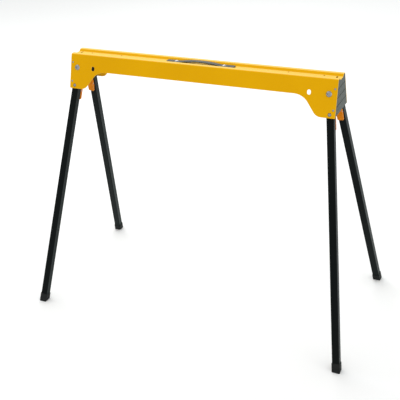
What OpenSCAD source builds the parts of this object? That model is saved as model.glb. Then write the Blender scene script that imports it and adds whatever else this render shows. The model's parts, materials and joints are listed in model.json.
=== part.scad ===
// Folding sawhorse: a folded sheet-metal beam on four pivoting square-tube legs.
// Millimetres. The origin is on the floor under the middle of the beam.
// +X runs along the beam, +Y to its rear side, +Z up. It is drawn with the legs open and locked.

/* [Stand] */
// Height of the top of the beam above the floor
height = 785; // [740:5:830]

/* [Beam] */
// Length of the beam
beam_len = 842; // [832:1:900]
// Width across the flat top, outside
top_w = 65; // [60:1:68]
// Slope of each side wall from the vertical, degrees
wall_tilt = 16.4; // [15:0.1:18]
// Thickness of the sheet metal
sheet = 1.5; // [1:0.1:2]
// Depth of the side walls between the gussets, along the wall
beam_depth = 49; // [46:1:56]
// Depth of the gussets at the ends, along the wall
gusset_depth = 106; // [104:1:112]
// Straight bottom edge of each gusset
gusset_flat = 40; // [38:1:56]
// Width of each flat ridge beside the handle groove
ridge_w = 14; // [12:0.5:15]
// Width of the groove's flat floor
groove_floor = 23; // [22:0.5:24]
// Depth of the handle groove
groove_depth = 6; // [5:0.5:7]

/* [Legs] */
// Outer width of the square tube
tube_w = 21; // [19:0.5:21]
// Wall of the square tube
tube_t = 1.5; // [1:0.1:2]
// Outward lean of the legs along the beam, degrees
splay = 7; // [5:0.5:8]
// Distance of each leg pivot from the middle of the beam
pivot_x = 398; // [397:1:402]
// Distance of each leg pivot below the top edge, along the wall
pivot_u = 41; // [40:0.5:44]
// Outer width of the foot cap
foot_w = 24; // [23:0.5:24]
// Length of the foot cap
foot_h = 24; // [18:1:40]

/* [Leg lock] */
// Distance from the leg pivot to the lock pin
lock_r = 56; // [54:1:57]
// Diameter of the lock pin
lock_d = 9; // [8:0.5:9]
// Distance from the leg pivot to the hinge of the release lever
lever_r = 74; // [73:1:75]
// Width of the release lever
lever_w = 18; // [17:0.5:18]

/* [Handle] */
// Length of the carrying strap
strap_len = 216; // [200:2:240]
// Distance of each strap screw from the middle
strap_screw_x = 76; // [70:1:84]
// Rise of the strap's arch
strap_rise = 6; // [4:0.5:7]

/* [Hidden] */

FRONT = -1;
REAR = 1;
LEFT = -1;
RIGHT = 1;

yellow = [0.93, 0.68, 0.06];
black = [0.12, 0.13, 0.13];
dark_grey = [0.30, 0.32, 0.31];
orange = [0.82, 0.42, 0.08];
steel = [0.72, 0.73, 0.75];

run_gap = 0.05;   // radial clearance of a running fit
cut = 1;          // how far a cutting shape reaches past the face it cuts
half_len = beam_len / 2;

// ---- places ----

// The outside of one side wall: x along the beam, y into the beam, z up along the wall from the top edge.
module on_wall(side) {
    mirror([0, side == REAR ? 1 : 0, 0])
        translate([0, -top_w / 2, height])
            rotate([-wall_tilt, 0, 0])
                children();
}

// One leg's own place: the pivot at the origin, y into the beam from the wall's outside, z up along the leg.
module on_leg(side, end) {
    on_wall(side)
        mirror([end == LEFT ? 1 : 0, 0, 0])
            translate([pivot_x, 0, -pivot_u])
                rotate([0, -splay, 0])
                    children();
}

// A round bar or bore along y, from y0 to y1.
module bar_y(r, y0, y1) {
    translate([0, y0, 0])
        rotate([-90, 0, 0])
            cylinder(r = r, h = y1 - y0, $fn = 48);
}

// A round bar or bore along x, centred.
module bar_x(r, len) {
    rotate([0, 90, 0])
        cylinder(r = r, h = len, center = true, $fn = 48);
}

// ---- bent sheet ----

function unit(v) = v / norm(v);
function left_of(v) = [-v[1], v[0]];
function arc_points(c, r, a0, a1, n) =
    [for (i = [0 : n]) let (a = a0 + (a1 - a0) * i / n) c + r * [cos(a), sin(a)]];

// Points of the round bend at corner p between the points before and after it, its outside radius r.
function bend_points(before, p, after, r, n) =
    let (
        a = unit(before - p),
        b = unit(after - p),
        half = acos(a * b) / 2,
        c = p + unit(a + b) * r / sin(half),
        s = p + a * r / tan(half) - c,
        e = p + b * r / tan(half) - c,
        a0 = atan2(s[1], s[0]),
        turn = atan2(e[1], e[0]) - a0,
        short = turn > 180 ? turn - 360 : (turn < -180 ? turn + 360 : turn)
    )
    arc_points(c, r, a0, a0 + short, n);

// The same path moved sideways by d, keeping the sheet's thickness round each bend.
function moved_path(p, d) = [
    for (i = [0 : len(p) - 1])
        let (
            u = unit(p[i] - p[max(i - 1, 0)] + (i == 0 ? p[1] - p[0] : [0, 0])),
            v = unit(p[min(i + 1, len(p) - 1)] - p[i] + (i == len(p) - 1 ? p[i] - p[i - 1] : [0, 0])),
            m = unit(left_of(u) + left_of(v))
        )
        p[i] + m * d / (m * left_of(u))
];

bend_r = 5;         // outside radius of the top edges
groove_r = 2.5;     // radius of the groove's bends
bend_steps = 6;
wall_reach = gusset_depth + 4;

corners = [
    [-top_w / 2 - wall_reach * sin(wall_tilt), height - wall_reach * cos(wall_tilt)],
    [-top_w / 2, height],
    [-top_w / 2 + ridge_w, height],
    [-groove_floor / 2, height - groove_depth],
    [groove_floor / 2, height - groove_depth],
    [top_w / 2 - ridge_w, height],
    [top_w / 2, height],
    [top_w / 2 + wall_reach * sin(wall_tilt), height - wall_reach * cos(wall_tilt)]
];
corner_r = [0, bend_r, groove_r, groove_r, groove_r, groove_r, bend_r, 0];
outside = [
    corners[0],
    for (i = [1 : 6])
        each bend_points(corners[i - 1], corners[i], corners[i + 1], corner_r[i], bend_steps),
    corners[7]
];
inside = moved_path(outside, -sheet);

module beam_section() {
    polygon(concat(outside, [for (i = [len(inside) - 1 : -1 : 0]) inside[i]]));
}

// ---- side wall outline, x along the beam and y up along the wall ----

sweep_angle = 54;      // slope of the gusset's curved edge
neck_r = 50;           // hollow curve under the beam
hip_r = 27;            // round curve at the gusset's foot
tip_r = 3;             // rounded outer corner
hip_x = half_len - gusset_flat;
hip_start = [
    hip_x - hip_r * sin(sweep_angle),
    -gusset_depth + hip_r * (1 - cos(sweep_angle))
];
neck_end_y = -beam_depth - neck_r * (1 - cos(sweep_angle));
neck_end_x = hip_start[0] - (neck_end_y - hip_start[1]) / tan(sweep_angle);
neck_x = neck_end_x - neck_r * sin(sweep_angle);

right_edge = concat(
    arc_points([neck_x, -beam_depth - neck_r], neck_r, 90, 90 - sweep_angle, 9),
    arc_points([hip_x, hip_r - gusset_depth], hip_r, 270 - sweep_angle, 270, 9),
    arc_points([half_len - tip_r, tip_r - gusset_depth], tip_r, 270, 360, 4)
);
left_edge = [for (i = [len(right_edge) - 1 : -1 : 0]) [-right_edge[i][0], right_edge[i][1]]];
waste_top = -beam_depth / 2;
waste = 20;

// What is trimmed off below the side wall's outline.
module wall_waste() {
    difference() {
        translate([-half_len - waste, -gusset_depth - waste])
            square([beam_len + 2 * waste, gusset_depth + waste + waste_top]);
        polygon(concat([[-half_len - 2 * waste, 0], [-half_len - 2 * waste, waste_top * 1.2],
                        [-half_len, waste_top * 1.2]],
                       left_edge, right_edge,
                       [[half_len, waste_top * 1.2], [half_len + 2 * waste, waste_top * 1.2],
                        [half_len + 2 * waste, 0]]));
    }
}

// ---- holes of the beam ----

bolt_r = 5;                // pivot bolt's shank
lock_hole_r = 5.2;         // gusset hole that takes the lock pin
slot_h = 14;               // upright slot that takes the lock pin with the leg folded
slot_w = 10.6;
slot_x = pivot_x - lock_r;
cap_screw_r = 1.7;
cap_screw_x = half_len - 7;
cap_screw_u = [26, 84];
batten_r = 2.5;            // small screw holes on the groove floor
batten_x = [267, 370];
batten_y = 6;
end_slot_x = half_len - 14.5;
end_slot_w = 4.5;
end_slot_len = 20;

module upright_slot() {
    for (z = [-1, 1])
        translate([0, 0, z * (slot_h - slot_w) / 2])
            bar_y(slot_w / 2, -cut, sheet + cut);
    translate([-slot_w / 2, -cut, -(slot_h - slot_w) / 2])
        cube([slot_w, sheet + 2 * cut, slot_h - slot_w]);
}

module wall_holes(side) {
    on_wall(side) {
        for (end = [LEFT, RIGHT]) {
            translate([end * slot_x, 0, -pivot_u])
                upright_slot();
            for (u = cap_screw_u)
                translate([end * cap_screw_x, 0, -u])
                    bar_y(cap_screw_r + run_gap, -cut, sheet + cut);
        }
    }
    for (end = [LEFT, RIGHT])
        on_leg(side, end) {
            bar_y(bolt_r + run_gap, -cut, sheet + cut);
            translate([0, 0, -lock_r])
                bar_y(lock_hole_r, -cut, sheet + cut);
        }
}

module top_holes() {
    for (end = [LEFT, RIGHT]) {
        for (x = batten_x, y = [-batten_y, batten_y])
            translate([end * x, y, height - groove_depth - sheet - cut])
                cylinder(r = batten_r, h = sheet + 2 * cut, $fn = 32);
        translate([end * end_slot_x - end_slot_w / 2, -end_slot_len / 2, height - groove_depth - sheet - cut])
            cube([end_slot_w, end_slot_len, groove_depth]);
        translate([end * strap_screw_x, 0, height - groove_depth - sheet - cut])
            cylinder(r = strap_screw_r + run_gap, h = sheet + 2 * cut, $fn = 32);
    }
}

module beam() {
    color(yellow)
    difference() {
        rotate([90, 0, 90])
            translate([0, 0, -half_len])
                linear_extrude(beam_len)
                    beam_section();
        for (side = [FRONT, REAR]) {
            on_wall(side)
                translate([0, sheet + 8, 0])
                    rotate([90, 0, 0])
                        linear_extrude(sheet + 16)
                            wall_waste();
            wall_holes(side);
        }
        top_holes();
    }
}

// ---- end caps ----

cap_t = 3.5;             // plate
cap_gap = 0.25;          // between the cap and the sheet
cap_drop = 99;           // from the beam's top down to the cap's bottom edge
flange_t = 2.6;
flange_w = 10;
flange_top_u = 14;
flange_bottom_u = 90;
cap_groove_drop = [26, 49.5, 73];    // level grooves across the cap, below the beam's top
cap_groove_w = 2.6;
cap_groove_cut = 1;

cap_edge = moved_path(outside, -sheet - cap_gap);

module cap_outline() {
    intersection() {
        polygon(cap_edge);
        translate([-top_w, height - cap_drop])
            square([2 * top_w, cap_drop]);
    }
}

module cap_grooves() {
    for (drop = cap_groove_drop)
        translate([half_len - cap_groove_cut, -top_w, height - drop - cap_groove_w / 2])
            cube([cap_groove_cut + cut, 2 * top_w, cap_groove_w]);
}

module cap_flanges() {
    for (side = [FRONT, REAR])
        on_wall(side)
            translate([half_len - cap_t - flange_w, sheet + cap_gap, -flange_bottom_u])
                cube([flange_w + cap_t / 2, flange_t, flange_bottom_u - flange_top_u]);
}

module end_cap(end) {
    color(dark_grey)
    mirror([end == LEFT ? 1 : 0, 0, 0])
    difference() {
        union() {
            difference() {
                translate([half_len - cap_t, 0, 0])
                    rotate([90, 0, 90])
                        linear_extrude(cap_t)
                            cap_outline();
                cap_grooves();
            }
            cap_flanges();
        }
        for (side = [FRONT, REAR], u = cap_screw_u)
            on_wall(side)
                translate([cap_screw_x, 0, -u])
                    bar_y(cap_screw_r, 0, sheet + cap_gap + flange_t + cut);
    }
}

screw_head_r = 2.9;
screw_head_h = 1.8;
screw_len = 4.2;

module cap_screws(end) {
    color(steel)
    for (side = [FRONT, REAR], u = cap_screw_u)
        on_wall(side)
            translate([end * cap_screw_x, 0, -u])
                difference() {
                    union() {
                        bar_y(cap_screw_r, -0.2, screw_len);
                        dome(screw_head_r, screw_head_h);
                    }
                    translate([0, -screw_head_h - cut, 0])
                        for (a = [0, 90])
                            rotate([0, a, 0])
                                translate([-1.5, 0, -0.35])
                                    cube([3, cut + 0.8, 0.7]);
                }
}

// A screw's domed head on the outside of a wall: radius r, height h, its flat face at y = 0.
module dome(r, h) {
    ball = (r * r + h * h) / (2 * h);
    rotate([90, 0, 0])
        rotate_extrude($fn = 64)
            intersection() {
                translate([0, h - ball])
                    circle(r = ball, $fn = 96);
                square([r, h]);
            }
}

// ---- handle ----

strap_w = 20;
strap_t = 3;
grip_len = 12;            // grip grooves across each end of the strap
strap_screw_r = 2.5;
strap_head_r = 6.2;
strap_head_h = 2.4;
strap_nut_h = 4;
strap_nut_r = 4.6;
floor_z = height - groove_depth;
arch_half = strap_screw_x - 12;          // the arch starts 12 mm inside each screw
arch_ball = (arch_half * arch_half + strap_rise * strap_rise) / (2 * strap_rise);

// The strap from the side: x along the beam, y up from the groove floor.
module strap_side() {
    for (s = [LEFT, RIGHT])
        translate([s * (arch_half + strap_len / 2) / 2, strap_t / 2])
            square([strap_len / 2 - arch_half, strap_t], center = true);
    intersection() {
        difference() {
            translate([0, strap_rise + strap_t - arch_ball])
                circle(r = arch_ball, $fn = 360);
            translate([0, strap_rise - arch_ball])
                circle(r = arch_ball, $fn = 360);
        }
        translate([-arch_half - 0.5, 0])
            square([2 * arch_half + 1, strap_rise + strap_t + cut]);
    }
}

module handle_strap() {
    color(dark_grey)
    difference() {
        translate([0, strap_w / 2, floor_z])
            rotate([90, 0, 0])
                linear_extrude(strap_w)
                    strap_side();
        for (s = [LEFT, RIGHT]) {
            translate([s * strap_screw_x, 0, floor_z - cut])
                cylinder(r = strap_screw_r + run_gap, h = strap_t + 2 * cut, $fn = 32);
            for (i = [0 : 2])
                translate([s * (strap_screw_x + 13 + 6 * i) - 1, -grip_len / 2, floor_z + strap_t - 1])
                    cube([2, grip_len, 1 + cut]);
        }
    }
}

module handle_screws() {
    color(steel)
    for (s = [LEFT, RIGHT])
        translate([s * strap_screw_x, 0, floor_z + strap_t]) {
            rotate([-90, 0, 0])
                dome(strap_head_r, strap_head_h);
            translate([0, 0, -strap_t - sheet - strap_nut_h - 1])
                cylinder(r = strap_screw_r, h = strap_t + sheet + strap_nut_h + 1.2, $fn = 32);
        }
}

module handle_nuts() {
    color(steel)
    for (s = [LEFT, RIGHT])
        translate([s * strap_screw_x, 0, floor_z - sheet - strap_nut_h])
            difference() {
                cylinder(r = strap_nut_r, h = strap_nut_h, $fn = 6);
                translate([0, 0, -cut])
                    cylinder(r = strap_screw_r, h = strap_nut_h + 2 * cut, $fn = 32);
            }
}

// ---- leg pivots, each in its leg's place ----

leg_y = 15;                      // middle of the tube, in from the wall's outside
tube_out = leg_y - tube_w / 2;
tube_in = leg_y + tube_w / 2;
bolt_head_r = 8.6;
bolt_head_h = 4.8;
washer_r = 9;
washer_t = 1.5;
nut_h = 6.5;
nut_r = 9.2;
nut_y = tube_in + run_gap + washer_t;

module pivot_bolt(side, end) {
    color(steel)
    on_leg(side, end)
        difference() {
            union() {
                bar_y(bolt_r, -0.5, nut_y + nut_h + 1.5);
                dome(bolt_head_r, bolt_head_h);
            }
            translate([0, -bolt_head_h + 2.6, 0])
                rotate([90, 0, 0])
                    cylinder(r = 3.5, h = bolt_head_h, $fn = 6);
        }
}

module ring_y(r, hole, y0, y1) {
    difference() {
        bar_y(r, y0, y1);
        bar_y(hole, y0 - cut, y1 + cut);
    }
}

module pivot_washers(side, end) {
    color(steel)
    on_leg(side, end) {
        ring_y(washer_r, bolt_r + run_gap, sheet, tube_out - run_gap);
        ring_y(washer_r, bolt_r + run_gap, tube_in + run_gap, nut_y);
    }
}

module pivot_nut(side, end) {
    color(steel)
    on_leg(side, end)
        difference() {
            translate([0, nut_y, 0])
                rotate([-90, 0, 0])
                    cylinder(r = nut_r, h = nut_h, $fn = 6);
            bar_y(bolt_r, nut_y - cut, nut_y + nut_h + cut);
        }
}

// ---- legs ----

tube_top = 10.5;       // tube above its pivot
tube_corner_r = 2;
tube_end_gap = 9;      // tube's lower end above the floor, inside the foot
foot_corner_r = 3;
leg_len = (height - pivot_u * cos(wall_tilt) - leg_y * sin(wall_tilt)) / (cos(wall_tilt) * cos(splay));

module round_square(w, r) {
    square([w, w - 2 * r], center = true);
    square([w - 2 * r, w], center = true);
    for (x = [-1, 1], y = [-1, 1])
        translate([x * (w / 2 - r), y * (w / 2 - r)])
            circle(r = r, $fn = 32);
}

module leg(side, end) {
    color(black)
    on_leg(side, end)
        difference() {
            translate([0, leg_y, -leg_len + tube_end_gap])
                linear_extrude(leg_len - tube_end_gap + tube_top)
                    difference() {
                        round_square(tube_w, tube_corner_r);
                        round_square(tube_w - 2 * tube_t, tube_corner_r - tube_t / 2);
                    }
            bar_y(bolt_r + run_gap, tube_out - cut, tube_in + cut);
            translate([0, 0, -lock_r])
                bar_y(lock_d / 2 + run_gap, tube_out - cut, tube_in + cut);
        }
}

module foot(side, end) {
    color(black)
    intersection() {
        on_leg(side, end)
            translate([0, leg_y, -leg_len - foot_w / 2])
                difference() {
                    linear_extrude(foot_h + foot_w / 2)
                        round_square(foot_w, foot_corner_r);
                    translate([0, 0, tube_end_gap + foot_w / 2])
                        linear_extrude(foot_h)
                            round_square(tube_w + 2 * run_gap, tube_corner_r);
                }
        translate([-beam_len, -beam_len, 0])
            cube([2 * beam_len, 2 * beam_len, 3 * foot_h]);
    }
}

// ---- release lever and lock pin, each in its leg's place ----

hinge_y = tube_in + 5;         // lever hinge, in from the wall's outside
hinge_r = 2;
ear_t = 1.5;
ear_r = 3.7;
ear_w = 10;                    // across both ears
bracket_base_t = 1.5;
lever_inner_w = 10.6;
cross_r = 1.5;                 // cross pin through the lock pin
cross_y = tube_in + 4.5;
lock_nose_y = sheet + 0.2;

module bracket(side, end) {
    color(steel)
    on_leg(side, end)
        translate([0, tube_in, -lever_r]) {
            translate([-ear_w / 2, 0, -12])
                cube([ear_w, bracket_base_t, 20]);
            difference() {
                for (s = [-1, 1])
                    translate([s * (ear_w - ear_t) / 2, 0, 0]) {
                        translate([0, hinge_y - tube_in, 0])
                            bar_x(ear_r, ear_t);
                        translate([-ear_t / 2, 0, -ear_r])
                            cube([ear_t, hinge_y - tube_in, 2 * ear_r]);
                    }
                translate([0, hinge_y - tube_in, 0])
                    bar_x(hinge_r, ear_w + cut);
            }
        }
}

module hinge_pin(side, end) {
    color(steel)
    on_leg(side, end)
        translate([0, hinge_y, -lever_r])
            bar_x(hinge_r, lever_w - 0.4);
}

lever_gap = 2;                 // lever's inner edge off the tube
lever_tip = 27;                // lever's end below its hinge
lever_corner = 4;              // rounded lower corners of its face
lever_roof = 2.4;              // thickness of the lever's back
hollow_end = 22;               // end of the lever's hollow below its hinge
cross_slack = 0.15;            // play of the cross pin in the lever
cross_play = 0.6;              // half the length of the cross pin's slot

// The lever's outline from the side: x is the distance below the leg pivot, y the height off the tube.
module lever_side() {
    intersection() {
        union() {
            translate([lock_r - 1, 4.5])
                circle(r = 5.6, $fn = 48);
            translate([lever_r - 1, 5.2])
                circle(r = 6.4, $fn = 64);
            polygon([
                [lock_r, lever_gap], [lever_r + 6, lever_gap + 0.2], [lever_r + 14, lever_gap + 1.6],
                [lever_r + 21, lever_gap + 3.8], [lever_r + lever_tip, lever_gap + 6],
                [lever_r + lever_tip, lever_gap + 7], [lever_r + 22, 11.6], [lever_r + 12, 11.6],
                [lever_r + 4, 11.2], [lock_r + 8, 10.6], [lock_r, 10]
            ]);
            translate([lever_r + lever_tip - 2.5, 8.3])
                circle(r = 3.3, $fn = 48);
        }
        translate([0, lever_gap])
            square([2 * lever_r, 12]);
    }
}

// The lever's outline from inside the stand: x is across it, y the distance below the leg pivot.
module lever_face() {
    end = lever_r + lever_tip + 0.8;
    corner = lever_w / 2 - lever_corner;
    polygon(concat(
        [[-lever_w / 2, lock_r - 10], [lever_w / 2, lock_r - 10]],
        arc_points([corner, end - lever_corner], lever_corner, 0, 90, 6),
        arc_points([-corner, end - lever_corner], lever_corner, 90, 180, 6)
    ));
}

// A lever lying along x is turned to stand along the leg.
module stand_up(len) {
    translate([-len / 2, 0, 0])
        rotate([0, 90, 0])
            linear_extrude(len)
                children();
}

module lever(side, end) {
    color(orange)
    on_leg(side, end)
        translate([0, tube_in, 0])
            difference() {
                intersection() {
                    stand_up(lever_w)
                        lever_side();
                    rotate([-90, 0, 0])
                        linear_extrude(20)
                            lever_face();
                }
                translate([0, -lever_roof, 0])
                    stand_up(lever_inner_w)
                        intersection() {
                            lever_side();
                            translate([0, -2 * cut])
                                square([lever_r + hollow_end, lever_r]);
                        }
                translate([-lever_inner_w / 2, -cut, -lever_r - hollow_end + 3])
                    cube([lever_inner_w, 5, lever_r - lock_r + hollow_end + 10]);
                translate([0, hinge_y - tube_in, -lever_r])
                    bar_x(hinge_r + run_gap, lever_w + cut);
                translate([0, cross_y - tube_in, -lock_r]) {
                    for (z = [-cross_play, cross_play])
                        translate([0, 0, z])
                            bar_x(cross_r + cross_slack, lever_w + cut);
                    translate([-lever_w / 2 - cut, -cross_r - cross_slack, -cross_play])
                        cube([lever_w + 2 * cut, 2 * (cross_r + cross_slack), 2 * cross_play]);
                }
            }
}

collar_y = tube_out + 3;       // collar that the spring pushes on
collar_t = 1.5;
spring_end_y = tube_in - tube_t;

module lock_pin(side, end) {
    color(steel)
    on_leg(side, end)
        translate([0, 0, -lock_r]) {
            bar_y(lock_d / 2, lock_nose_y + 1, cross_y + 2);
            translate([0, lock_nose_y + 1, 0])
                dome(lock_d / 2, 1);
            bar_y(7, collar_y, collar_y + collar_t);
            translate([0, cross_y, 0])
                bar_x(cross_r, lever_w - 1);
        }
}

module lock_spring(side, end) {
    color(steel)
    on_leg(side, end)
        translate([0, 0, -lock_r])
            ring_y(6.6, 5, collar_y + collar_t, spring_end_y);
}

beam();
end_cap(LEFT);  // end_cap_left
end_cap(RIGHT);  // end_cap_right
cap_screws(LEFT);  // cap_screws_left
cap_screws(RIGHT);  // cap_screws_right
handle_strap();
handle_screws();
handle_nuts();
pivot_bolt(FRONT, LEFT);  // pivot_bolt_front_left
pivot_bolt(FRONT, RIGHT);  // pivot_bolt_front_right
pivot_bolt(REAR, LEFT);  // pivot_bolt_rear_left
pivot_bolt(REAR, RIGHT);  // pivot_bolt_rear_right
pivot_washers(FRONT, LEFT);  // pivot_washers_front_left
pivot_washers(FRONT, RIGHT);  // pivot_washers_front_right
pivot_washers(REAR, LEFT);  // pivot_washers_rear_left
pivot_washers(REAR, RIGHT);  // pivot_washers_rear_right
pivot_nut(FRONT, LEFT);  // pivot_nut_front_left
pivot_nut(FRONT, RIGHT);  // pivot_nut_front_right
pivot_nut(REAR, LEFT);  // pivot_nut_rear_left
pivot_nut(REAR, RIGHT);  // pivot_nut_rear_right
leg(FRONT, LEFT);  // leg_front_left
leg(FRONT, RIGHT);  // leg_front_right
leg(REAR, LEFT);  // leg_rear_left
leg(REAR, RIGHT);  // leg_rear_right
foot(FRONT, LEFT);  // foot_front_left
foot(FRONT, RIGHT);  // foot_front_right
foot(REAR, LEFT);  // foot_rear_left
foot(REAR, RIGHT);  // foot_rear_right
bracket(FRONT, LEFT);  // bracket_front_left
bracket(FRONT, RIGHT);  // bracket_front_right
bracket(REAR, LEFT);  // bracket_rear_left
bracket(REAR, RIGHT);  // bracket_rear_right
hinge_pin(FRONT, LEFT);  // hinge_pin_front_left
hinge_pin(FRONT, RIGHT);  // hinge_pin_front_right
hinge_pin(REAR, LEFT);  // hinge_pin_rear_left
hinge_pin(REAR, RIGHT);  // hinge_pin_rear_right
lever(FRONT, LEFT);  // lever_front_left
lever(FRONT, RIGHT);  // lever_front_right
lever(REAR, LEFT);  // lever_rear_left
lever(REAR, RIGHT);  // lever_rear_right
lock_pin(FRONT, LEFT);  // lock_pin_front_left
lock_pin(FRONT, RIGHT);  // lock_pin_front_right
lock_pin(REAR, LEFT);  // lock_pin_rear_left
lock_pin(REAR, RIGHT);  // lock_pin_rear_right
lock_spring(FRONT, LEFT);  // lock_spring_front_left
lock_spring(FRONT, RIGHT);  // lock_spring_front_right
lock_spring(REAR, LEFT);  // lock_spring_rear_left
lock_spring(REAR, RIGHT);  // lock_spring_rear_right
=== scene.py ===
"""Looks of the folding sawhorse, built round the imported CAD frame. Metres, in the frame's axes."""

import json
import math

import bmesh
import bpy
from mathutils import Matrix, Vector


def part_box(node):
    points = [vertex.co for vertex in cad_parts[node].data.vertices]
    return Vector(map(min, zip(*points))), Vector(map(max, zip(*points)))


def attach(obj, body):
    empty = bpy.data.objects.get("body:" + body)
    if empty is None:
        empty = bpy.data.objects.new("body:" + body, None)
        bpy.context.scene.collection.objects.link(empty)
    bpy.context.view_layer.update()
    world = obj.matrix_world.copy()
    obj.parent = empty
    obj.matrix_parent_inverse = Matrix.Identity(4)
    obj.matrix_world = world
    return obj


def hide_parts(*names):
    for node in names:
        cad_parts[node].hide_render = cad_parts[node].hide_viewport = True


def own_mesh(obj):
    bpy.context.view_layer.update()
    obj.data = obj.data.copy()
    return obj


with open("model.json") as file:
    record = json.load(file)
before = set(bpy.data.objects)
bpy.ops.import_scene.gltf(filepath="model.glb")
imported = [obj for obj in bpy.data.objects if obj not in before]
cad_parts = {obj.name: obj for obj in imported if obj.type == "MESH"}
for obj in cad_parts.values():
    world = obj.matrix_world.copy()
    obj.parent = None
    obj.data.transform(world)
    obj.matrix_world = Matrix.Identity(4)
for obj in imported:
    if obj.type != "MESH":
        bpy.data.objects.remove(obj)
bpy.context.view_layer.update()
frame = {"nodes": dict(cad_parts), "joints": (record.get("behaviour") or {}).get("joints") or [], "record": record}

MM = 0.001
SIDES = ("front", "rear")
ENDS = ("left", "right")
LEGS = [f"{side}_{end}" for side in SIDES for end in ENDS]


# ---- the frame's own places ----

JOINTS = {joint["name"]: joint for joint in frame["joints"]}
WALL_TO_TUBE = 15 * MM          # from a side wall's outside to the middle of the leg tube


def leg_place(leg):
    """One leg's own axes: origin on the wall's outside at the pivot, x outward along the beam,
    y into the beam, z up along the leg."""
    fold, press = JOINTS[f"leg_fold_{leg}"], JOINTS[f"lever_press_{leg}"]
    pivot, hinge = Vector(fold["pos_m"]), Vector(press["pos_m"])
    inward = Vector(fold["axis"]).normalized()
    if inward.y * pivot.y > 0:
        inward = -inward
    outward = Vector(press["axis"]).normalized()
    if outward.x * pivot.x < 0:
        outward = -outward
    up = pivot - hinge
    up = (up - inward * up.dot(inward)).normalized()
    place = Matrix((outward, inward, up)).transposed().to_4x4()
    place.translation = pivot - inward * WALL_TO_TUBE
    return place


# ---- node materials ----

class Shader:
    """A Principled material with small helpers for its procedural colour, roughness and bump."""

    def __init__(self, name, **sockets):
        self.material = bpy.data.materials.new(name)
        self.material.use_nodes = True
        self.nodes = self.material.node_tree.nodes
        self.links = self.material.node_tree.links
        self.shader = self.nodes["Principled BSDF"]
        for socket, value in sockets.items():
            self.shader.inputs[socket.replace("_", " ")].default_value = value
        self.place = self.nodes.new("ShaderNodeTexCoord").outputs["Object"]

    def noise(self, scale, detail=3.0, roughness=0.5):
        node = self.nodes.new("ShaderNodeTexNoise")
        node.inputs["Scale"].default_value = scale
        node.inputs["Detail"].default_value = detail
        node.inputs["Roughness"].default_value = roughness
        self.links.new(self.place, node.inputs["Vector"])
        return node.outputs["Fac"]

    def edge_on(self):
        """0 where the surface faces the viewer, rising to 1 where it is seen edge-on."""
        return self.nodes.new("ShaderNodeLayerWeight").outputs["Facing"]

    def ramp(self, value, low, high, start=0.0, end=1.0):
        """value taken from low..high to start..end, held at the ends."""
        node = self.nodes.new("ShaderNodeMapRange")
        for socket, number in (("From Min", low), ("From Max", high), ("To Min", start), ("To Max", end)):
            node.inputs[socket].default_value = number
        self.links.new(value, node.inputs["Value"])
        return node.outputs["Result"]

    def mix(self, share, first, second):
        """A colour between two colours, each a tuple or an output."""
        node = self.nodes.new("ShaderNodeMix")
        node.data_type = "RGBA"
        self.links.new(share, node.inputs["Factor"])
        for socket, colour in ((node.inputs[6], first), (node.inputs[7], second)):
            if isinstance(colour, tuple):
                socket.default_value = (*colour, 1.0)
            else:
                self.links.new(colour, socket)
        return node.outputs[2]

    def colour(self, output):
        self.links.new(output, self.shader.inputs["Base Color"])

    def rough(self, value, low, high):
        self.links.new(self.ramp(value, 0.3, 0.7, low, high), self.shader.inputs["Roughness"])

    def bump(self, height, depth, under=None):
        """A bump of that depth in metres, on top of another bump if one is given."""
        node = self.nodes.new("ShaderNodeBump")
        node.inputs["Distance"].default_value = depth
        node.inputs["Strength"].default_value = 1.0
        self.links.new(height, node.inputs["Height"])
        if under:
            self.links.new(under, node.inputs["Normal"])
        self.links.new(node.outputs["Normal"], self.shader.inputs["Normal"])
        return node.outputs["Normal"]


def powder_coat(name, base, deep, rough, peel=0.00003, painted_sheen=None, **sockets):
    """Satin powder coat: slow drifts of tone, a fine orange-peel skin, a few dull handling marks.
    A paler colour can be given for a painted sheen: it is mixed in where the coat is seen at a low angle, standing
    for the reflection of the bright surround."""
    s = Shader(name, **sockets)
    drift = s.ramp(s.noise(5.0, 2.0), 0.35, 0.65)
    speck = s.ramp(s.noise(420.0, 2.0, 0.6), 0.42, 0.62)
    tone = s.mix(drift, base, deep)
    fleck = tuple(min(1.0, c * 1.06) for c in base)
    tone = s.mix(s.ramp(speck, 0.0, 1.0, 0.0, 0.25), tone, fleck)
    # painted sheen: a paler colour mixed in as the surface turns edge-on to the view
    if painted_sheen:
        tone = s.mix(s.ramp(s.edge_on(), 0.3, 0.62, 0.0, 0.85), tone, painted_sheen)
    s.colour(tone)
    s.rough(s.noise(26.0, 4.0, 0.6), *rough)
    skin = s.bump(s.noise(520.0, 2.0, 0.5), peel)
    s.bump(s.noise(60.0, 2.0, 0.4), peel * 1.5, skin)
    return s.material


def moulded_plastic(name, base, deep, rough, grain, **sockets):
    """Moulded plastic or rubber: a fine eroded grain and slightly uneven pigment."""
    s = Shader(name, **sockets)
    s.colour(s.mix(s.ramp(s.noise(34.0, 3.0), 0.35, 0.65), base, deep))
    s.rough(s.noise(140.0, 3.0, 0.6), *rough)
    s.bump(s.noise(900.0, 3.0, 0.65), grain)
    return s.material


def plated_steel(name, base, deep, rough):
    """Zinc-plated steel: cloudy plating with a fine uneven polish."""
    s = Shader(name, Metallic=1.0)
    s.colour(s.mix(s.ramp(s.noise(90.0, 4.0, 0.6), 0.35, 0.65), base, deep))
    s.rough(s.noise(210.0, 4.0, 0.6), *rough)
    s.bump(s.noise(700.0, 2.0, 0.5), 0.000015)
    return s.material


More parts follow.
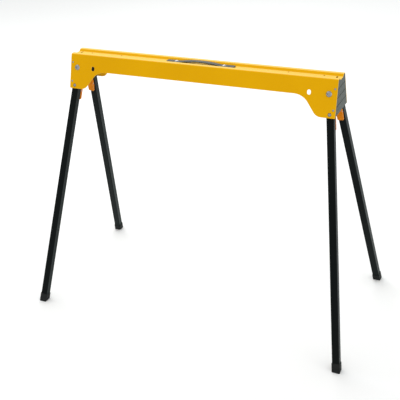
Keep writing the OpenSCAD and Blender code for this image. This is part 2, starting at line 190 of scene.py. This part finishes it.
MATERIALS = {
    # the yellow and black coats carry a painted sheen, paler where they are seen at a low angle
    "beam_yellow": powder_coat("yellow_coat", (0.765, 0.395, 0.0), (0.715, 0.36, 0.0), (0.30, 0.40),
                               painted_sheen=(0.82, 0.54, 0.10), Specular_IOR_Level=0.05),
    "leg_black": powder_coat("black_coat", (0.0035, 0.0052, 0.0052), (0.005, 0.0068, 0.0068), (0.34, 0.46),
                             painted_sheen=(0.030, 0.038, 0.038), Specular_IOR_Level=0.04),
    "foot_black": moulded_plastic("foot_rubber", (0.007, 0.0085, 0.0085), (0.010, 0.012, 0.012),
                                  (0.52, 0.70), 0.00006, Specular_IOR_Level=0.15),
    "cap_grey": moulded_plastic("cap_plastic", (0.050, 0.062, 0.054), (0.062, 0.076, 0.066), (0.42, 0.55),
                                0.00004, Specular_IOR_Level=0.2),
    "strap_grey": moulded_plastic("strap_rubber", (0.032, 0.036, 0.027), (0.044, 0.048, 0.037),
                                  (0.34, 0.5), 0.00005, Specular_IOR_Level=0.25),
    "lever_orange": moulded_plastic("lever_plastic", (0.66, 0.205, 0.0), (0.58, 0.175, 0.0),
                                    (0.36, 0.48), 0.00003, Specular_IOR_Level=0.08),
    "bracket_zinc": plated_steel("zinc", (0.36, 0.37, 0.38), (0.44, 0.45, 0.46), (0.32, 0.46)),
    "bright_steel": plated_steel("bright_plate", (0.34, 0.35, 0.37), (0.27, 0.28, 0.30), (0.14, 0.26)),
}
# Lighter coats for the rounded edges and the beam's sheet ends: a painted highlight, the light that the edges
# catch.
EDGES = {
    "beam_yellow": powder_coat("yellow_edge_highlight", (0.92, 0.58, 0.08), (0.88, 0.52, 0.05), (0.34, 0.44),
                               Specular_IOR_Level=0.2),
    "leg_black": powder_coat("black_edge_highlight", (0.014, 0.017, 0.017), (0.02, 0.023, 0.023), (0.30, 0.42),
                             Specular_IOR_Level=0.3),
}
# A dark brown for the walls of the groove's holes: painted shade inside the holes.
HOLE_SHADE = {
    "beam_yellow": powder_coat("yellow_hole_shade", (0.16, 0.075, 0.004), (0.10, 0.045, 0.003), (0.5, 0.6),
                               Specular_IOR_Level=0.1),
}
NODE_SLOT = {part["node"]: part["material_slot"] for part in frame["record"]["subparts"]}


# ---- meshes ----

def add_piece(name, bm, body, slot, nodes=(), extra=()):
    """A finished mesh as a piece of the object: it rides a body and takes the place of CAD nodes.
    extra holds the materials after its slot's own."""
    mesh = bpy.data.meshes.new(name)
    bm.to_mesh(mesh)
    bm.free()
    mesh.polygons.foreach_set("use_smooth", [True] * len(mesh.polygons))
    mesh.materials.append(MATERIALS[slot])
    for material in extra:
        mesh.materials.append(material)
    piece = bpy.data.objects.new(name, mesh)
    bpy.context.scene.collection.objects.link(piece)
    normals = piece.modifiers.new("weighted_normals", "WEIGHTED_NORMAL")
    normals.keep_sharp = True
    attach(piece, body)
    if nodes:
        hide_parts(*nodes)
    return piece


def clean_copy(node):
    """A CAD node's mesh with its seams closed and its flat faces whole."""
    bm = bmesh.new()
    bm.from_mesh(frame["nodes"][node].data)
    bmesh.ops.remove_doubles(bm, verts=bm.verts, dist=0.002 * MM)
    bmesh.ops.dissolve_limit(bm, angle_limit=math.radians(0.5), verts=bm.verts, edges=bm.edges)
    bmesh.ops.dissolve_degenerate(bm, edges=bm.edges, dist=0.02 * MM)
    return bm


def round_edges(bm, width, from_angle=28, material=0):
    """Rounds every edge sharper than from_angle degrees."""
    sharp = [e for e in bm.edges if e.is_manifold and e.calc_face_angle(0) > math.radians(from_angle)]
    bmesh.ops.bevel(bm, geom=sharp, offset=width, offset_type="OFFSET", segments=2, profile=0.5,
                    affect="EDGES", clamp_overlap=False, loop_slide=True, material=material)


def body_of_node(node):
    return next(body for body, nodes in frame["record"]["behaviour"]["bodies"].items() if node in nodes)


HIGHLIT_EDGE, SHADED_HOLE = 1, 2               # places of the painted edge highlight and the painted hole shade in a mesh's materials


# Where the painted shade of the holes goes:
HOLES_DEPTH = 9 * MM            # the groove's holes lie this close to the beam's top,
HOLES_HALF_W = 12 * MM          # this close to its middle line,
HOLES_FROM_X = 0.2              # and outside the strap's stretch, in metres


def mark_cut_faces(bm):
    """The beam's sheet ends take the lighter edge coat, a painted highlight, and the walls of the holes in its
    groove a dark colour, painted shade.
    """
    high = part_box("beam")[1]
    for face in bm.faces:
        at, n = face.calc_center_median(), face.normal
        if abs(n.x) > 0.95 and abs(at.x) > high.x - 0.5 * MM:
            face.material_index = HIGHLIT_EDGE
        # walls of the holes in the groove: painted shade
        elif (abs(n.z) < 0.3 and high.z - at.z < HOLES_DEPTH and abs(at.y) < HOLES_HALF_W
              and HOLES_FROM_X < abs(at.x) < high.x - 1 * MM):
            face.material_index = SHADED_HOLE


def refined(node, width):
    """A CAD node with broken edges, in its slot's material."""
    slot = NODE_SLOT[node]
    bm = clean_copy(node)
    if node == "beam":
        mark_cut_faces(bm)
    # the rounded edges take the lighter coat, a painted highlight, where the slot has one
    round_edges(bm, width, material=HIGHLIT_EDGE if slot in EDGES else 0)
    extra = [group[slot] for group in (EDGES, HOLE_SHADE) if slot in group]
    return add_piece(f"{node}_fine", bm, body_of_node(node), slot, [node], extra)


def ring_faces(bm, rings):
    """Joins rings of equally many points into a tube."""
    count = len(rings[0])
    for a, b in zip(rings, rings[1:]):
        for i in range(count):
            j = (i + 1) % count
            bm.faces.new((a[i], a[j], b[j], b[i]))


def turned(bm, profile, place, steps=40):
    """A body turned about place's y axis. profile is (radius, y) from end to end, radius 0 at both ends."""
    first, *middle, last = profile
    rings = []
    turns = [2 * math.pi * i / steps for i in range(steps)]
    for radius, y in middle:
        ring = [Vector((radius * math.cos(a), y, radius * math.sin(a))) for a in turns]
        rings.append([bm.verts.new(place @ p) for p in ring])
    ring_faces(bm, rings)
    for (_, y), ring in ((first, rings[0]), (last, rings[-1])):
        tip = bm.verts.new(place @ Vector((0, y, 0)))
        for i in range(steps):
            bm.faces.new((tip, ring[i], ring[(i + 1) % steps]))
    bmesh.ops.recalc_face_normals(bm, faces=bm.faces)


# ---- lock pins and springs ----

TUBE_OUT = 4.5 * MM             # the leg tube's faces, from the side wall's outside
TUBE_IN = 25.5 * MM
LOCK_DROP = 56 * MM             # lock pin below the leg pivot
PIN_R = 4.5 * MM
PIN_NOSE = -1.1 * MM            # the domed nose, just proud of the gusset
PIN_END = TUBE_IN + 6.5 * MM
COLLAR = (TUBE_OUT + 3 * MM, TUBE_OUT + 4.5 * MM, 7 * MM)
CROSS_Y, CROSS_R, CROSS_HALF = TUBE_IN + 4.5 * MM, 1.5 * MM, 8.5 * MM
SPRING_END = TUBE_IN - 1.5 * MM
SPRING_R, WIRE_R = 5.85 * MM, 0.6 * MM
SPRING_TURNS = 5.5


def lock_pin(leg):
    place = leg_place(leg) @ Matrix.Translation((0, 0, -LOCK_DROP))
    nose = [(PIN_R * math.sin(math.radians(a)), PIN_NOSE + 2.2 * MM * (1 - math.cos(math.radians(a))))
            for a in range(0, 91, 10)]
    collar_in, collar_out, collar_r = COLLAR
    chamfer = 0.3 * MM
    profile = nose + [
        (PIN_R, collar_in - chamfer), (PIN_R + chamfer, collar_in), (collar_r - chamfer, collar_in),
        (collar_r, collar_in + chamfer), (collar_r, collar_out - chamfer), (collar_r - chamfer, collar_out),
        (PIN_R, collar_out), (PIN_R, PIN_END - 0.6 * MM), (PIN_R - 0.6 * MM, PIN_END), (0, PIN_END)]
    bm = bmesh.new()
    turned(bm, profile, place)
    across = place @ Matrix.Translation((0, CROSS_Y, 0)) @ Matrix.Rotation(math.radians(90), 4, "Z")
    cross = bmesh.new()
    turned(cross, [(0, -CROSS_HALF), (CROSS_R - chamfer, -CROSS_HALF), (CROSS_R, -CROSS_HALF + chamfer),
                   (CROSS_R, CROSS_HALF - chamfer), (CROSS_R - chamfer, CROSS_HALF), (0, CROSS_HALF)],
           across, 24)
    joined = bpy.data.meshes.new("cross")
    cross.to_mesh(joined)
    cross.free()
    bm.from_mesh(joined)
    bpy.data.meshes.remove(joined)
    return add_piece(f"lock_pin_{leg}_turned", bm, f"{leg}_lock", "bright_steel", [f"lock_pin_{leg}"])


def coil_point(turn_share):
    """Centre line of the spring, closed and flat for the first and last turn."""
    start, end = COLLAR[1] + WIRE_R, SPRING_END - WIRE_R
    closed = 0.85 / SPRING_TURNS
    free = (turn_share - closed) / (1 - 2 * closed)
    dead = 2 * WIRE_R
    if turn_share < closed:
        y = start + dead * turn_share / closed
    elif turn_share > 1 - closed:
        y = end - dead * (1 - turn_share) / closed
    else:
        y = start + dead + (end - start - 2 * dead) * free
    angle = 2 * math.pi * SPRING_TURNS * turn_share
    return Vector((SPRING_R * math.cos(angle), y, SPRING_R * math.sin(angle)))


def lock_spring(leg):
    place = leg_place(leg) @ Matrix.Translation((0, 0, -LOCK_DROP))
    steps, around = 150, 8
    bm = bmesh.new()
    rings = []
    for i in range(steps + 1):
        centre = coil_point(i / steps)
        outward = Vector((centre.x, 0, centre.z)).normalized()
        ring = [centre + WIRE_R * (outward * math.cos(a) + Vector((0, math.sin(a), 0)))
                for a in (2 * math.pi * k / around for k in range(around))]
        rings.append([bm.verts.new(place @ p) for p in ring])
    ring_faces(bm, rings)
    for ring in (rings[0], rings[-1]):
        bm.faces.new(ring)
    bmesh.ops.recalc_face_normals(bm, faces=bm.faces)
    piece = add_piece(f"lock_spring_{leg}_coil", bm, f"{leg}_leg", "bright_steel", [f"lock_spring_{leg}"])
    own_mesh(piece)
    return piece


# ---- carrying strap ----

def smooth(x):
    x = min(1.0, max(0.0, x))
    return x * x * (3 - 2 * x)


STRAP_HEAD_R = 6.2 * MM         # radius of the strap's screw heads
STRAP_THICK = 3 * MM
ARCH_INSET = 11 * MM            # from a screw to the arch's foot
STRAP_END_R = 3.5 * MM
WAIST = 1.6 * MM                # how much narrower the strap is on each side under the hand
CROWN = 0.5 * MM
RIB_HEIGHT, RIB_PITCH, RIB_FADE = 0.55 * MM, 3.6 * MM, 1.5 * MM


def handle_strap():
    """The moulded strap: flat ribbed ends screwed down, and a crowned arch between the screws."""
    low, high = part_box("handle_strap")
    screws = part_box("handle_screws")
    half_len, half_w = high.x, high.y
    screw_x = screws[1].x - STRAP_HEAD_R
    floor = low.z
    rise = high.z - low.z - STRAP_THICK
    arch_half = screw_x - ARCH_INSET
    lengthwise, around = 280, 36

    def lift(x):
        bow = 1 - min(1.0, abs(x) / arch_half) ** 2
        return rise * bow * (0.55 + 0.45 * smooth(bow / 0.3))

    def ribs(x):
        along = abs(x) - (screw_x + 10 * MM)
        inside = smooth(along / RIB_FADE) * smooth((half_len - 4 * MM - abs(x)) / RIB_FADE)
        return RIB_HEIGHT * inside * (0.5 - 0.5 * math.cos(2 * math.pi * along / RIB_PITCH))

    bm = bmesh.new()
    rings = []
    for i in range(lengthwise + 1):
        x = -half_len + 2 * half_len * i / lengthwise
        from_end = half_len - abs(x)
        end_round = math.sqrt(max(0.0, 1 - (1 - min(1.0, from_end / STRAP_END_R)) ** 2))
        waist = WAIST * smooth((arch_half + 6 * MM - abs(x)) / (22 * MM))
        width = (half_w - waist - STRAP_END_R) + STRAP_END_R * end_round
        tall = STRAP_THICK * (0.55 + 0.45 * end_round) / 2
        crown = CROWN * smooth((arch_half - abs(x)) / (20 * MM))
        centre_z = floor + lift(x) + STRAP_THICK / 2
        ring = []
        for k in range(around):
            a = 2 * math.pi * k / around
            c, s = math.cos(a), math.sin(a)
            y = width * math.copysign(abs(c) ** 0.28, c)
            z = tall * math.copysign(abs(s) ** 0.42, s)
            if s > 0:
                z += (crown - ribs(x)) * (1 - abs(y / width) ** 3) if width else 0
            ring.append(bm.verts.new((x, y, centre_z + z)))
        rings.append(ring)
    ring_faces(bm, rings)
    for ring in (rings[0], rings[-1]):
        bm.faces.new(ring)
    bmesh.ops.recalc_face_normals(bm, faces=bm.faces)
    return add_piece("handle_strap_moulded", bm, "stand", "strap_grey", ["handle_strap"])


# ---- all the pieces ----

EDGE_WIDTHS = {
    "beam": 0.35, "end_cap": 0.3, "leg": 0.3, "foot": 0.8, "lever": 0.45, "bracket": 0.25,
    "hinge_pin": 0.25, "pivot_bolt": 0.3, "pivot_nut": 0.5, "pivot_washers": 0.2,
    "cap_screws": 0.12, "handle_screws": 0.25, "handle_nuts": 0.3,
}
BUILT_ANEW = ("handle_strap", "lock_pin", "lock_spring")


def build_pieces():
    for node in sorted(frame["nodes"]):
        if not node.startswith(BUILT_ANEW):
            kind = max((k for k in EDGE_WIDTHS if node.startswith(k)), key=len)
            refined(node, EDGE_WIDTHS[kind] * MM)
    handle_strap()
    for leg in LEGS:
        lock_pin(leg)
        lock_spring(leg)


# ---- floor, light and camera ----

VIEW_AZIMUTH, VIEW_ELEVATION, VIEW_ROLL = 25.67, 24.42, -3.04     # degrees
VIEW_DISTANCE = 2.461
VIEW_TARGET = Vector((-0.0158, 0, 0.502))
LENS = 72.39                                                       # mm on a 36 mm sensor
SHIFT_UP = -0.125
SURROUND_STRENGTH = 0.975
FLOOR_DEEP, FLOOR_PALE = (0.85, 0.863, 0.858), (0.87, 0.877, 0.873)
FLOOR_HALF = 30                                                    # metres


def place_camera():
    """The camera looks from the right end's front corner, a little from above."""
    a, e, r = (math.radians(v) for v in (VIEW_AZIMUTH, VIEW_ELEVATION, VIEW_ROLL))
    back = Vector((math.sin(a) * math.cos(e), -math.cos(a) * math.cos(e), math.sin(e)))
    right = Vector((math.cos(a), math.sin(a), 0))
    up = back.cross(right)
    rolled_right = right * math.cos(r) + up * math.sin(r)
    rolled_up = up * math.cos(r) - right * math.sin(r)
    data = bpy.data.cameras.new("camera")
    data.sensor_width = 36
    data.lens = LENS
    data.shift_y = SHIFT_UP
    data.clip_start, data.clip_end = 0.05, 60
    camera = bpy.data.objects.new("camera", data)
    camera.matrix_world = Matrix.Translation(VIEW_TARGET + back * VIEW_DISTANCE) @ Matrix(
        (rolled_right, rolled_up, back)).transposed().to_4x4()
    bpy.context.scene.collection.objects.link(camera)
    bpy.context.scene.camera = camera


def area_light(name, centre, target, size, power):
    data = bpy.data.lights.new(name, "AREA")
    data.shape = "RECTANGLE"
    data.size, data.size_y = size
    data.energy = power
    lamp = bpy.data.objects.new(name, data)
    lamp.location = centre
    lamp.rotation_mode = "QUATERNION"
    lamp.rotation_quaternion = (Vector(target) - Vector(centre)).to_track_quat("-Z", "Y")
    bpy.context.scene.collection.objects.link(lamp)


def studio():
    """A pale floor running into a white surround, one broad light above and behind, one from the right."""
    world = bpy.data.worlds.new("surround")
    world.use_nodes = True
    world.node_tree.nodes["Background"].inputs["Color"].default_value = (1.0, 1.0, 1.0, 1.0)
    world.node_tree.nodes["Background"].inputs["Strength"].default_value = SURROUND_STRENGTH
    bpy.context.scene.world = world
    bpy.context.scene.view_settings.view_transform = "Standard"
    bpy.context.scene.view_settings.look = "None"

    bm = bmesh.new()
    bmesh.ops.create_grid(bm, x_segments=2, y_segments=2, size=FLOOR_HALF)
    mesh = bpy.data.meshes.new("floor")
    bm.to_mesh(mesh)
    bm.free()
    paper = Shader("floor_paper")
    paper.colour(paper.mix(paper.ramp(paper.noise(0.8, 2.0), 0.3, 0.7), FLOOR_DEEP, FLOOR_PALE))
    paper.shader.inputs["Roughness"].default_value = 0.9
    paper.shader.inputs["Specular IOR Level"].default_value = 0.1
    mesh.materials.append(paper.material)
    floor = bpy.data.objects.new("floor", mesh)
    bpy.context.scene.collection.objects.link(floor)

    area_light("overhead", (-1.4, 1.5, 2.9), (0, 0, 0.3), (3.0, 2.4), 55)
    area_light("right_panel", (3.0, -0.6, 1.2), (0, 0, 0.4), (1.6, 2.0), 8)


build_pieces()
studio()
place_camera()
